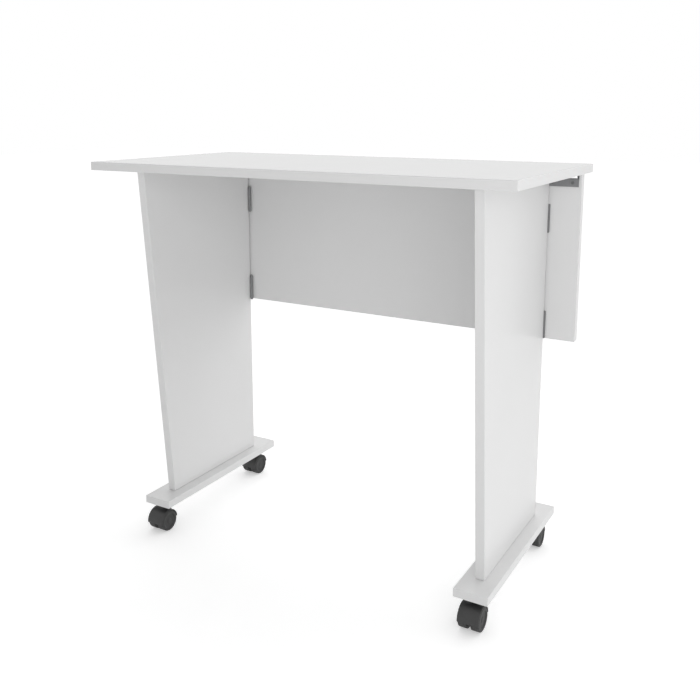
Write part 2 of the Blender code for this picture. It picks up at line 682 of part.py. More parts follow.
def main():
    clear_scene()
    looks = {
        "board": make_material("white_melamine", (0.80, 0.80, 0.79), 0.25, 0.0),
        "steel": make_material("grey_steel", (0.22, 0.22, 0.22), 0.45, 0.6),
        "zinc": make_material("zinc_plated_steel", (0.45, 0.45, 0.44), 0.4, 1.0),
        "nylon": make_material("grey_nylon", (0.07, 0.07, 0.07), 0.5, 0.0),
    }
    axle = rod(AXLE_RADIUS, -AXLE_HALF_LENGTH, AXLE_HALF_LENGTH, PIN_SIDES, (1, 0, 0))
    caster_parts = {
        "plate": shared_mesh(caster_plate(), looks["zinc"]),
        "hood": shared_mesh(caster_hood(), looks["nylon"]),
        "axle": shared_mesh(as_object("axle", axle), looks["zinc"]),
        "wheel": shared_mesh(caster_wheel(), looks["nylon"]),
    }
    root = pivot("desk", (0, 0, 0))
    make_panel(looks, root)
    make_top(looks, root)
    for label, side in SIDES.items():
        make_leg(label, side, looks, root, caster_parts)


main()
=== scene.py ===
"""Looks of the folding desk: white melamine boards, satin steel hinges, slotted screws and twin casters.

Metres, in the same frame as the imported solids: +X to the right, +Y to the back panel, +Z up, floor at zero.
"""

import json
import math
from typing import NamedTuple

import bmesh
import bpy
import numpy as np
from bpy.props import FloatProperty, FloatVectorProperty, PointerProperty
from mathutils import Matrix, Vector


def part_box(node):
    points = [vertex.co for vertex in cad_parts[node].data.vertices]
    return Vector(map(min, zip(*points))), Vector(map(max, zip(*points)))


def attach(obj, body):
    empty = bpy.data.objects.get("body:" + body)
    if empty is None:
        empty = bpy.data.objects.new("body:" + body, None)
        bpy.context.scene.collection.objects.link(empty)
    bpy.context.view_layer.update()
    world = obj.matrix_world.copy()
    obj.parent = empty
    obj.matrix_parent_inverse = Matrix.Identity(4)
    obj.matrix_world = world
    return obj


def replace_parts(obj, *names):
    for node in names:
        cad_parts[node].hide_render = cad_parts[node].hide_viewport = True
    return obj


bl_info = {
    "name": "Folding desk looks",
    "version": (1, 0, 0),
    "blender": (4, 5, 0),
    "location": "3D View > Sidebar > Desk",
    "description": "Dresses the folding desk's solids with boards, hinges, screws and casters as they look",
    "category": "Object",
}

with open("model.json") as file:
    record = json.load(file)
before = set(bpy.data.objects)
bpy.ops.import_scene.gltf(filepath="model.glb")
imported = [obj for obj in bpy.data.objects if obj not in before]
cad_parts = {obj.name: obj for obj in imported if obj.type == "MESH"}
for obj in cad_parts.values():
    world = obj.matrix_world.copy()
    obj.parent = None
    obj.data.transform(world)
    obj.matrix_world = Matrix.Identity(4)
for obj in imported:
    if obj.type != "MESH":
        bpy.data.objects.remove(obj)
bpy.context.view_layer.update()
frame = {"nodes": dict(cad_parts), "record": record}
NODES = frame["nodes"]
BODIES = frame["record"]["behaviour"]["bodies"]
BODY_OF = {node: body for body, nodes in BODIES.items() for node in nodes}
SIDES = {"left": -1, "right": 1}
CORNERS = [(end, side) for end in ("front", "rear") for side in SIDES]
MM = 0.001

# Leg hinges; the leg leaf's face stands past the leg board's rear edge
KNUCKLES = 5
KNUCKLE_RADIUS = 3.04 * MM
KNUCKLE_BORE = 1.8 * MM
KNUCKLE_EDGE = 0.3 * MM
KNUCKLE_BORE_EDGE = 0.06 * MM
KNUCKLE_GAP = 0.15 * MM
PIN_RADIUS = 1.5 * MM
PIN_HEAD_RADIUS = 2.1 * MM
PIN_HEAD = 1.8 * MM
PIN_DOME = 1.3 * MM
PIN_EDGE = 0.1 * MM
HINGE_LEAF = 0.9 * MM
LEG_LEAF_FACE = 1.2 * MM
HINGE_SCREWS = 3
HINGE_SCREW_END = 7.5 * MM


class Screw(NamedTuple):
    """Head radius, depth of the head's cone and shank radius of a countersunk screw."""

    head: float
    cone: float
    shank: float


SMALL_SCREW = Screw(2.8 * MM, 1.6 * MM, 1.5 * MM)
FOOT_SCREW = Screw(4.5 * MM, 3.0 * MM, 2.5 * MM)
HINGE_SCREW = Screw(2.5 * MM, 1.2 * MM, 1.4 * MM)
PLATE_SCREW = Screw(2.9 * MM, 1.8 * MM, 1.6 * MM)
SHORT_SCREW = 12 * MM
HINGE_SLOT_SHARE = 0.7

# Screw heads, in shares of the head's radius; the land is a share of the cone's depth
HEAD_RINGS = 13
HEAD_DOME = 0.05
HEAD_LAND = 0.1
SLOT_HALF_WIDTH = 0.16
SLOT_WALL = 0.06
SLOT_HALF_LENGTH = 0.62
SLOT_RAMP = 0.30

# Caster wheels: radii about the axle, and distances along it from the caster's middle
WHEEL_RADIUS = 20.0 * MM
WHEEL_FACE = 18.7 * MM
RIM_RADIUS = 14.6 * MM
RIM_FACE = 18.5 * MM
RING_OUTER = 13.0 * MM
RING_INNER = 5.2 * MM
RING_FACE = 16.95 * MM
BUTTON_RADIUS = 4.3 * MM
BUTTON_FACE = 17.7 * MM
TREAD_END = 4.0 * MM
BEVEL_RADIUS = 16.8 * MM
BEVEL_END = 2.6 * MM
LIP_RADIUS = 12.6 * MM
LIP_END = 1.4 * MM
CUP_RADIUS = 12.0 * MM
CUP_FLOOR = 10.4 * MM
HUB_RADIUS = 5.0 * MM
HUB_END = 6.6 * MM
BORE_RADIUS = 2.75 * MM
BORE_END = 15.8 * MM

# Caster hoods and plates: radii, half widths along the axle, heights above the floor, and the boss's reach
# on the hood, a share of the hood's radius
CASTER_TRAIL = 12.5 * MM
AXLE_HEIGHT = 20.0 * MM
HOOD_OUTER = 22.5 * MM
HOOD_INNER = 20.8 * MM
HOOD_HALF = 18.4 * MM
HOOD_LIP = 0.35 * MM
HOOD_TIP = 1.8 * MM
HOOD_STEPS = 61
FIN_HALF = 1.0 * MM
FIN_STEPS = 41
FORK_HUB_RADIUS = 6.0 * MM
FORK_HUB_HALF = 6.2 * MM
FORK_HUB_EDGE = 0.5 * MM
BOSS_RADIUS = 8.5 * MM
BOSS_TOP = 49.4 * MM
BOSS_REACH = 0.985
PLATE_STEEL = 2.0 * MM
PLATE_SCREW_REACH = 13.0 * MM

# Meshes: vertices closer than the merge are one, and edges past the sharp angle stay sharp
MERGE = 1e-7
SHARP = math.radians(38)
COARSE, ROUND, FINE = 40, 48, 72

# Sockets of a Mix node for colours, which share their names with others and so go by number
MIX_FACTOR, MIX_FIRST, MIX_SECOND, MIX_RESULT = 0, 6, 7, 2


def linear(code):
    """An sRGB hex colour as linear red, green and blue."""
    srgb = np.array([int(code[i : i + 2], 16) for i in (1, 3, 5)]) / 255
    return tuple(float(c) for c in np.where(srgb <= 0.04045, srgb / 12.92, ((srgb + 0.055) / 1.055) ** 2.4))


def colour_property(name, description, code):
    """A colour that a user can change, from its sRGB hex value."""
    return FloatVectorProperty(
        name=name, description=description, subtype="COLOR", size=3, min=0, max=1, default=linear(code)
    )


def length_property(name, description, default):
    """A size in metres that a user can change."""
    return FloatProperty(name=name, description=description, default=default, unit="LENGTH")


class DeskFinish(bpy.types.PropertyGroup):
    """Colours of the desk's materials."""

    board: colour_property("Board", "White of the melamine facing", "#E7E7E7")
    board_shade: colour_property("Board shade", "Duller white in the facing's cloudy parts", "#E4E4E4")
    hinge: colour_property("Hinge steel", "Grey of the hinge leaves and yokes", "#8F9091")
    screw: colour_property("Screw zinc", "Bright grey of the plated screws and caster plates", "#B9BCBE")
    yoke_screw: colour_property("Yoke screw", "Dark grey of the screws in the top hinges", "#7C7D7E")
    nylon: colour_property("Caster nylon", "Dark grey of the caster hoods", "#323232")
    tread: colour_property("Wheel", "Dark grey of the caster wheels", "#303030")


class DeskSizes(bpy.types.PropertyGroup):
    """Sizes of what the looks add to the solids."""

    wheel_round: length_property("Wheel edge", "Rounding of the wheel's outer edge", 2.8 * MM)
    hood_round: length_property("Hood edge", "Rounding of the hood's side edges", 1.6 * MM)
    slot_depth: length_property("Cross slot", "Depth of the screws' cross slots", 0.9 * MM)
    floor: length_property("Floor", "Side of the studio floor", 24.0)


# Nodes and materials


def add_node(tree, kind, values=(), links=(), feeds=(), **settings):
    """Adds a node with its settings, its sockets' values, the links into it and the sockets it feeds."""
    node = tree.nodes.new(kind)
    for name, value in settings.items():
        setattr(node, name, value)
    for socket, value in dict(values).items():
        node.inputs[socket].default_value = value
    for socket, source in dict(links).items():
        tree.links.new(source, node.inputs[socket])
    for socket, target in dict(feeds).items():
        tree.links.new(node.outputs[socket], target)
    return node


def new_material(name, values):
    """A material with one Principled shader and Object coordinates, and the tree to add a pattern to."""
    material = bpy.data.materials.new(name)
    material.use_nodes = True
    tree = material.node_tree
    shader = tree.nodes["Principled BSDF"]
    for socket, value in values.items():
        shader.inputs[socket].default_value = value
    place = add_node(tree, "ShaderNodeTexCoord").outputs["Object"]
    return material, tree, shader.inputs, place


def toned(colour, share=1.0):
    """A linear colour made darker or lighter by a share, with full alpha."""
    return (*(c * share for c in colour), 1)


def white_melamine(finish, across):
    """Melamine on particle board: glossy white, faintly cloudy, with the press plate's soft orange peel.

    The board is thin along the axis named across, so faces that look another way are its edges, which have a
    plastic band, a little duller than the facing.
    """
    material, tree, shader, place = new_material(f"white_melamine_{across}", {"IOR": 1.5, "Metallic": 0.0})
    looks = add_node(tree, "ShaderNodeTexCoord").outputs["Normal"]
    along = add_node(tree, "ShaderNodeSeparateXYZ", (), {"Vector": looks}).outputs[across.upper()]
    facing = add_node(tree, "ShaderNodeMath", (), {0: along}, operation="ABSOLUTE").outputs[0]
    # clouds about 160 mm across, orange peel about 3 mm across
    cloud = add_node(tree, "ShaderNodeTexNoise", {"Scale": 1 / (160 * MM), "Detail": 3.0}, {"Vector": place})
    peel = add_node(tree, "ShaderNodeTexNoise", {"Scale": 1 / (3 * MM), "Detail": 1.0}, {"Vector": place})
    whites = {MIX_FIRST: toned(finish.board), MIX_SECOND: toned(finish.board_shade)}
    clouded = {MIX_FACTOR: cloud.outputs["Fac"]}
    add_node(tree, "ShaderNodeMix", whites, clouded, {MIX_RESULT: shader["Base Color"]}, data_type="RGBA")
    gloss = {"To Min": 0.36, "To Max": 0.26}
    add_node(tree, "ShaderNodeMapRange", gloss, {"Value": facing}, {"Result": shader["Roughness"]})
    dents = {"Strength": 0.04, "Distance": 0.02 * MM}
    add_node(tree, "ShaderNodeBump", dents, {"Height": peel.outputs["Fac"]}, {"Normal": shader["Normal"]})
    return material


def satin_steel(finish):
    """Rolled and plated hinge steel: grey, satin, with fine drawing lines along the strip."""
    material, tree, shader, place = new_material("satin_steel", {"Metallic": 0.45})
    # real lines are about 0.05 mm apart; drawn 0.4 mm apart, so that they show, and fifty times as long
    lines = add_node(tree, "ShaderNodeMapping", {"Scale": (1, 1, 0.02)}, {"Vector": place})
    along = lines.outputs["Vector"]
    noise = add_node(tree, "ShaderNodeTexNoise", {"Scale": 1 / (0.4 * MM), "Detail": 2.0}, {"Vector": along})
    drawn = noise.outputs["Fac"]
    greys = {MIX_FIRST: toned(finish.hinge, 0.78), MIX_SECOND: toned(finish.hinge)}
    lined = {MIX_FACTOR: drawn}
    add_node(tree, "ShaderNodeMix", greys, lined, {MIX_RESULT: shader["Base Color"]}, data_type="RGBA")
    gloss = {"To Min": 0.32, "To Max": 0.46}
    add_node(tree, "ShaderNodeMapRange", gloss, {"Value": drawn}, {"Result": shader["Roughness"]})
    dents = {"Strength": 0.15, "Distance": 0.02 * MM}
    add_node(tree, "ShaderNodeBump", dents, {"Height": drawn}, {"Normal": shader["Normal"]})
    return material


def zinc_plate(name, colour):
    """Zinc plating on screws and caster plates, bright or dark, with the bath's faint spangle."""
    material, tree, shader, place = new_material(name, {"Metallic": 1.0})
    # spangle about 1.5 mm across
    cells = add_node(tree, "ShaderNodeTexVoronoi", {"Scale": 1 / (1.5 * MM)}, {"Vector": place})
    spangle = cells.outputs["Distance"]
    greys = {MIX_FIRST: toned(colour), MIX_SECOND: toned(colour, 0.82)}
    spangled = {MIX_FACTOR: spangle}
    add_node(tree, "ShaderNodeMix", greys, spangled, {MIX_RESULT: shader["Base Color"]}, data_type="RGBA")
    gloss = {"To Min": 0.26, "To Max": 0.40}
    add_node(tree, "ShaderNodeMapRange", gloss, {"Value": spangle}, {"Result": shader["Roughness"]})
    return material


def moulded_nylon(name, colour, rough):
    """Moulded nylon: dark grey, satin, with the spark-eroded mould's fine grain and faint flow marks."""
    material, tree, shader, place = new_material(name, {"IOR": 1.53, "Metallic": 0.0})
    # real grain is about 0.2 mm; drawn 0.7 mm across, so that it shows
    fine = add_node(tree, "ShaderNodeTexNoise", {"Scale": 1 / (0.7 * MM), "Detail": 2.0}, {"Vector": place})
    grain = fine.outputs["Fac"]
    # flow marks about 14 mm across
    flow = add_node(tree, "ShaderNodeTexNoise", {"Scale": 1 / (14 * MM), "Detail": 2.0}, {"Vector": place})
    greys = {MIX_FIRST: toned(colour, 0.86), MIX_SECOND: toned(colour, 1.12)}
    flowed = {MIX_FACTOR: flow.outputs["Fac"]}
    add_node(tree, "ShaderNodeMix", greys, flowed, {MIX_RESULT: shader["Base Color"]}, data_type="RGBA")
    spread = 0.08
    gloss = {"To Min": rough - spread, "To Max": rough + spread}
    add_node(tree, "ShaderNodeMapRange", gloss, {"Value": grain}, {"Result": shader["Roughness"]})
    dents = {"Strength": 0.25, "Distance": 0.03 * MM}
    add_node(tree, "ShaderNodeBump", dents, {"Height": grain}, {"Normal": shader["Normal"]})
    return material


# Surfaces


def grid_faces(rows, columns):
    """Quads of a grid whose columns close on themselves."""
    row, column = np.mgrid[0 : rows - 1, 0:columns]
    after = (column + 1) % columns
    this, above = row * columns, (row + 1) * columns
    return np.stack([this + column, this + after, above + after, above + column], -1).reshape(-1, 4).tolist()


def rounded(corners, radii, steps=5):
    """A line through corners, with a parabola at each inner corner that starts and ends its radius away.

    A radius stays under half of the shorter side beside it, so that neighbouring parabolas stay apart.
    """
    under_half = 0.48
    points = np.asarray(corners, float)
    middle = points[1:-1]
    to_last = points[:-2] - middle
    to_next = points[2:] - middle
    far_last = np.linalg.norm(to_last, axis=1, keepdims=True)
    far_next = np.linalg.norm(to_next, axis=1, keepdims=True)
    reach = np.broadcast_to(np.asarray(radii, float).reshape(-1, 1), far_last.shape)
    start = middle + to_last / far_last * np.minimum(reach, under_half * far_last)
    end = middle + to_next / far_next * np.minimum(reach, under_half * far_next)
    t = np.linspace(0, 1, steps)[None, :, None]
    curve = (1 - t) ** 2 * start[:, None] + 2 * t * (1 - t) * middle[:, None] + t**2 * end[:, None]
    return np.vstack([points[:1], curve.reshape(-1, 2), points[-1:]])


def lathe(profile, steps):
    """A profile of (radius, along) turned about X: (along, radius cos t, radius sin t)."""
    radius, along = np.asarray(profile, float).T
    t = np.linspace(0, math.tau, steps, endpoint=False)
    x = np.repeat(along[:, None], steps, axis=1)
    points = np.stack([x, np.outer(radius, np.cos(t)), np.outer(radius, np.sin(t))], -1)
    return points.reshape(-1, 3), grid_faces(len(radius), steps)


def sleeve(low, high):
    """A hinge knuckle: a ring about X from low to high, with its edges rounded."""
    middle = (low + high) / 2
    bore = [(KNUCKLE_BORE, middle), (KNUCKLE_BORE, low)]
    corners = [*bore, (KNUCKLE_RADIUS, low), (KNUCKLE_RADIUS, high), (KNUCKLE_BORE, high), bore[0]]
    edges = [KNUCKLE_BORE_EDGE, KNUCKLE_EDGE, KNUCKLE_EDGE, KNUCKLE_BORE_EDGE]
    return lathe(rounded(corners, edges), ROUND)


def swept(section, angles):
    """A closed section of (radius, along) carried round X through the angles, with flat ends.

    Each point is (along, radius cos angle, radius sin angle).
    """
    radius, along = np.asarray(section, float).T
    x = np.repeat(along[None, :], len(angles), axis=0)
    points = np.stack([x, np.outer(np.cos(angles), radius), np.outer(np.sin(angles), radius)], -1)
    count = len(radius)
    last = (len(angles) - 1) * count
    ends = [list(range(count)), list(range(last, last + count))]
    return points.reshape(-1, 3), grid_faces(len(angles), count) + ends


def slab(outline, low, high):
    """A flat outline of (y, z) carried along X from low to high."""
    outline = np.asarray(outline, float)
    count = len(outline)
    points = np.vstack([np.column_stack([np.full(count, x), outline]) for x in (low, high)])
    return points, grid_faces(2, count) + [list(range(count)), list(range(count, 2 * count))]


def turned_to(points, axis):
    """Points drawn about X, with X laid along another axis by a cyclic change of axes."""
    return points[:, {"X": [0, 1, 2], "Y": [2, 0, 1], "Z": [1, 2, 0]}[axis]]


def gathered(*shapes):
    """Several shapes as one set of points and faces."""
    points = np.vstack([shape[0] for shape in shapes])
    faces = []
    offset = 0
    for shape_points, shape_faces in shapes:
        faces += [[index + offset for index in face] for face in shape_faces]
        offset += len(shape_points)
    return points, faces


def add_piece(name, shape, material, body):
    """Puts a shape into the scene as a smooth piece that moves with a body, with its poles merged."""
    points, faces = shape
    mesh = bpy.data.meshes.new(name)
    mesh.from_pydata(points.tolist(), [], faces)
    work = bmesh.new()
    work.from_mesh(mesh)
    bmesh.ops.remove_doubles(work, verts=work.verts, dist=MERGE)
    bmesh.ops.recalc_face_normals(work, faces=work.faces)
    work.to_mesh(mesh)
    work.free()
    mesh.materials.append(material)
    mesh.shade_smooth()
    mesh.set_sharp_from_angle(angle=SHARP)
    piece = bpy.data.objects.new(name, mesh)
    bpy.context.scene.collection.objects.link(piece)
    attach(piece, body)
    return piece


def dress(node, material):
    """Gives a carried-over solid its material."""
    slots = NODES[node].data.materials
    slots.clear()
    slots.append(material)


def extent(node):
    """The middle, the lowest corner and the highest corner of a solid's box."""
    low, high = (np.array(corner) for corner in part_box(node))
    return (low + high) / 2, low, high


# Pieces


def screw_shape(place, way, screw, length, slot_depth):
    """A countersunk screw at a place, looking out along way, with a cross slot.

    The head's top is a disc of (radius, angle), domed by one less the radius squared. Its dip is the larger
    of two crossed bars, each a ramp across its width times a ramp along its length. A ramp falls from one to
    nothing, half of it on either side of the bar's edge.
    """
    head, cone, shank = screw
    rings = np.linspace(0, 1, HEAD_RINGS)
    t = np.linspace(0, math.tau, ROUND, endpoint=False)
    u = np.outer(rings * head, np.cos(t))
    v = np.outer(rings * head, np.sin(t))

    def bar(along, across):
        wide = np.clip((SLOT_HALF_WIDTH * head - np.abs(across)) / (SLOT_WALL * head) + 0.5, 0, 1)
        long = np.clip((SLOT_HALF_LENGTH * head - np.abs(along)) / (SLOT_RAMP * head) + 0.5, 0, 1)
        return wide * long

    dip = slot_depth * np.maximum(bar(u, v), bar(v, u))
    dome = HEAD_DOME * head * (1 - rings**2)[:, None]
    top = np.stack([dome - dip, u, v], -1).reshape(-1, 3)
    body = [(head, -HEAD_LAND * cone), (shank, -cone), (shank, shank - length), (0, -length)]
    side, _ = lathe(body, ROUND)
    points = np.vstack([top, side])
    faces = grid_faces(len(rings) + len(body), ROUND)
    axis = "XYZ"[int(np.argmax(np.abs(way)))]
    points = turned_to(points, axis)
    if np.sum(way) < 0:
        # a half turn about another axis
        points = points * np.array([-1.0, 1.0, -1.0] if axis == "Z" else [-1.0, -1.0, 1.0])
    return points + np.asarray(place), faces


def wheel_shape(way, edge):
    """A cup-shaped wheel, its outline of (radius, along) turned about the axle.

    From the middle of the outer face: a button, a sunk ring and a rim; the tread; the inner edge, cut back in
    two bevels, so that the two wheels have a V between them; the cup, the hub in it and the hub's blind bore.
    """
    outline = [
        (0, BUTTON_FACE),
        (BUTTON_RADIUS, BUTTON_FACE),
        (RING_INNER, RING_FACE),
        (RING_OUTER, RING_FACE),
        (RIM_RADIUS, RIM_FACE),
        (WHEEL_RADIUS, WHEEL_FACE),
        (WHEEL_RADIUS, TREAD_END),
        (BEVEL_RADIUS, BEVEL_END),
        (LIP_RADIUS, LIP_END),
        (CUP_RADIUS, LIP_END),
        (CUP_RADIUS, CUP_FLOOR),
        (HUB_RADIUS, CUP_FLOOR),
        (HUB_RADIUS, HUB_END),
        (BORE_RADIUS, HUB_END),
        (BORE_RADIUS, BORE_END),
        (0, BORE_END),
    ]
    # the roundings of the outline's corners, in order, with the wheel's outer edge between the two groups
    face_round = np.array([0.4, 0.4, 0.5, 0.5]) * MM
    inside_round = np.array([0.7, 1.2, 0.6, 0.3, 0.5, 0.5, 0.3, 0.2, 0.2]) * MM
    points, faces = lathe(rounded(outline, [*face_round, edge, *inside_round]), FINE)
    # the wheel that faces left is this one after a half turn about the upright
    return points * np.array([way, way, 1]), faces


def hood_shape(edge):
    """The caster's moulded fork about the swivel axis at floor level.

    A hood section carried round the axle, a fin between the wheels, the axle's hub, and the swivel boss. The
    boss is a disc of (radius, angle) whose underside follows the hood's curve, then a wall, then its top.
    """
    middle = (HOOD_INNER + HOOD_OUTER) / 2
    inside = [(HOOD_INNER, 0), (HOOD_INNER, -HOOD_HALF)]
    corners = [*inside, (HOOD_OUTER, -HOOD_HALF), (HOOD_OUTER, HOOD_HALF), (HOOD_INNER, HOOD_HALF), inside[0]]
    section = rounded(corners, [HOOD_LIP, edge, edge, HOOD_LIP], steps=7)[:-1]
    # from a little above the axle's level behind it, over the top, to as much below it in front
    tip = math.asin(HOOD_TIP / HOOD_OUTER)
    hood = swept(section, np.linspace(tip, math.pi + tip, HOOD_STEPS))

    # the fin's upper outline in the hood, then its lower one, from the front under the hub to the rear
    turn = np.linspace(tip, math.pi + tip, FIN_STEPS)
    curve = middle * np.column_stack([np.cos(turn), np.sin(turn)])
    skirt = np.array([(-9.6, -1.8), (-3.6, -6.0), (3.6, -6.0), (9.6, 0.9)]) * MM
    fin = slab(np.vstack([curve, skirt]), -FIN_HALF, FIN_HALF)
    hub_ends = [(FORK_HUB_RADIUS, -FORK_HUB_HALF), (FORK_HUB_RADIUS, FORK_HUB_HALF)]
    hub_outline = [(0, -FORK_HUB_HALF), *hub_ends, (0, FORK_HUB_HALF)]
    hub = lathe(rounded(hub_outline, FORK_HUB_EDGE), COARSE)
    about_axle, faces = gathered(hood, fin, hub)
    fork = (about_axle + np.array([0, -CASTER_TRAIL, AXLE_HEIGHT]), faces)

    # the boss from the middle of its underside, out and up: shares of its radius, and of its height
    reach = np.array([0, 0.45, 0.9, 1.28, 1.12, 1.03, 1.0, 1.0, 0.95, 0])
    level = np.array([0, 0, 0, 0, 0.12, 0.28, 0.5, 0.96, 1.0, 1.0])
    t = np.linspace(0, math.tau, ROUND, endpoint=False)
    x = BOSS_RADIUS * np.outer(reach, np.cos(t))
    y = BOSS_RADIUS * np.outer(reach, np.sin(t))
    # the hood's curve, kept short of where it stands upright
    away = np.minimum(np.abs(y + CASTER_TRAIL), BOSS_REACH * middle)
    under = AXLE_HEIGHT + np.sqrt(middle**2 - away**2)
    z = under + level[:, None] * (BOSS_TOP - under)
    boss = np.stack([x, y, z], -1).reshape(-1, 3), grid_faces(len(reach), ROUND)
    return gathered(fork, boss)


class DESK_OT_boards(bpy.types.Operator):
    """Faces the tabletop, back panel, legs and feet with white melamine"""

    bl_idname = "desk.boards"
    bl_label = "Boards"

    def execute(self, context):
        facings = {across: white_melamine(context.scene.desk_finish, across) for across in "xyz"}
        dress("tabletop", facings["z"])
        dress("back_panel", facings["y"])
        for side in SIDES:
            dress(f"{side}_leg_board", facings["x"])
            dress(f"{side}_foot_board", facings["z"])
        return {"FINISHED"}


class DESK_OT_hinges(bpy.types.Operator):
    """Gives the hinges their satin steel, round knuckles and domed pins"""

    bl_idname = "desk.hinges"
    bl_label = "Hinges"

    def execute(self, context):
        steel = satin_steel(context.scene.desk_finish)
        for node in NODES:
            if "hinge" in node:
                dress(node, steel)
        for side in SIDES:
            for name in ("upper", "lower"):
                self.add_pin(f"{side}_{name}_hinge_pin", steel)
                for first, leaf in enumerate(("panel_leaf", "leg_leaf")):
                    self.add_knuckles(f"{side}_{name}_hinge", leaf, first, steel)
        return {"FINISHED"}

    def add_knuckles(self, hinge, leaf, first, steel):
        """Round sleeves over a leaf's faceted knuckles, every other one along the pin."""
        pin, _, _ = extent(f"{hinge}_pin")
        node = f"{hinge}_{leaf}"
        _, low, high = extent(node)
        ends = np.linspace(low[2], high[2], KNUCKLES + 1)
        pairs = list(zip(ends[:-1] + KNUCKLE_GAP, ends[1:] - KNUCKLE_GAP))[first::2]
        points, faces = gathered(*[sleeve(one, two) for one, two in pairs])
        points = turned_to(points, "Z") + np.array([pin[0], pin[1], 0])
        add_piece(f"{node}_knuckles", (points, faces), steel, BODY_OF[node])

    def add_pin(self, node, steel):
        """A pin with a domed head past each end of the barrel."""
        middle, low, high = extent(node)
        half = (high[2] - low[2]) / 2
        neck = half - PIN_HEAD
        head = np.array([(PIN_RADIUS, neck), (PIN_HEAD_RADIUS, neck), (PIN_HEAD_RADIUS, half), (0, half)])
        profile = np.vstack([head[::-1] * (1, -1), head])
        edges = [PIN_DOME, PIN_EDGE, PIN_EDGE, PIN_EDGE, PIN_EDGE, PIN_DOME]
        points, faces = lathe(rounded(profile, edges), COARSE)
        points = turned_to(points, "Z") + middle
        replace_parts(add_piece(f"{node}_round", (points, faces), steel, BODY_OF[node]), node)


class DESK_OT_screws(bpy.types.Operator):
    """Puts cross-slot screws in the hinge leaves, the yokes, the feet and the caster plates"""

    bl_idname = "desk.screws"
    bl_label = "Screws"

    def execute(self, context):
        finish = context.scene.desk_finish
        zinc = zinc_plate("bright_zinc_plate", finish.screw)
        dark = zinc_plate("dark_zinc_plate", finish.yoke_screw)
        depth = context.scene.desk_sizes.slot_depth
        self.replace_solids(zinc, dark, depth)
        for side in SIDES:
            for name in ("upper", "lower"):
                self.fix_leg_hinge(side, name, zinc, depth)
        for end, side in CORNERS:
            self.fix_caster_plate(end, side, zinc, depth)
        return {"FINISHED"}

    def replace_solids(self, zinc, dark, depth):
        """Screws that stand for the solid ones; length and place come from each solid's box."""
        kinds = {
            "_yoke_screw_": (dark, (0, -1, 0), SMALL_SCREW),
            "_leaf_screw_": (zinc, (0, 0, -1), SMALL_SCREW),
            "_foot_screw_": (zinc, (0, 0, -1), FOOT_SCREW),
        }
        for node in NODES:
            for mark, (plating, way, screw) in kinds.items():
                if mark in node:
                    middle, low, high = extent(node)
                    length = float(np.abs(np.dot(high - low, way)))
                    place = middle + np.array(way) * length / 2
                    shape = screw_shape(place, way, screw, length, depth)
                    piece = add_piece(f"{node}_slotted", shape, plating, BODY_OF[node])
                    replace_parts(piece, node)

    def fix_leg_hinge(self, side, name, zinc, depth):
        """Screws through the panel leaf and through the leg leaf, on the leg board's middle."""
        board, _, board_high = extent(f"{side}_leg_board")
        for leaf, body, way in (("panel", "panel", (0, -1, 0)), ("leg", f"{side}_leg", (0, 1, 0))):
            _, low, high = extent(f"{side}_{name}_hinge_{leaf}_leaf")
            face = high[1] - HINGE_LEAF if leaf == "panel" else board_high[1] + LEG_LEAF_FACE
            heights = np.linspace(low[2] + HINGE_SCREW_END, high[2] - HINGE_SCREW_END, HINGE_SCREWS)
            slot_depth = HINGE_SLOT_SHARE * depth
            shapes = [
                screw_shape((board[0], face, z), way, HINGE_SCREW, SHORT_SCREW, slot_depth) for z in heights
            ]
            add_piece(f"{side}_{name}_hinge_{leaf}_screws", gathered(*shapes), zinc, body)

    def fix_caster_plate(self, end, side, zinc, depth):
        """Four screws up through the corners of a caster plate."""
        node = f"{end}_{side}_caster_plate"
        middle, _, high = extent(node)
        face = np.array([middle[0], middle[1], high[2] - PLATE_STEEL])
        corners = [np.array([i, j, 0]) * PLATE_SCREW_REACH for i in (-1, 1) for j in (-1, 1)]
        shapes = [screw_shape(face + to, (0, 0, -1), PLATE_SCREW, SHORT_SCREW, depth) for to in corners]
        add_piece(f"{end}_{side}_caster_screws", gathered(*shapes), zinc, BODY_OF[node])


class DESK_OT_casters(bpy.types.Operator):
    """Builds the twin wheels and moulded hoods of the casters over their solids"""

    bl_idname = "desk.casters"
    bl_label = "Casters"

    def execute(self, context):
        finish = context.scene.desk_finish
        sizes = context.scene.desk_sizes
        zinc = zinc_plate("plate_zinc", finish.screw)
        hood_nylon = moulded_nylon("hood_nylon", finish.nylon, rough=0.48)
        wheel_nylon = moulded_nylon("wheel_nylon", finish.tread, rough=0.62)
        hood_points, hood_faces = hood_shape(sizes.hood_round)
        for end, side in CORNERS:
            label = f"{end}_{side}_caster"
            swivel, _, _ = extent(f"{label}_plate")
            axle, _, _ = extent(f"{label}_axle")
            shape = (hood_points + np.array([swivel[0], swivel[1], 0]), hood_faces)
            fork = add_piece(f"{label}_fork", shape, hood_nylon, BODY_OF[f"{label}_hood"])
            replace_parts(fork, f"{label}_hood")
            for wheel in ("outer", "inner"):
                node = f"{label}_{wheel}_wheel"
                way = SIDES[side] if wheel == "outer" else -SIDES[side]
                points, faces = wheel_shape(way, sizes.wheel_round)
                shape = (points + axle, faces)
                roller = add_piece(f"{node}_moulding", shape, wheel_nylon, BODY_OF[node])
                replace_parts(roller, node)
            dress(f"{label}_plate", zinc)
            dress(f"{label}_axle", zinc)
        return {"FINISHED"}


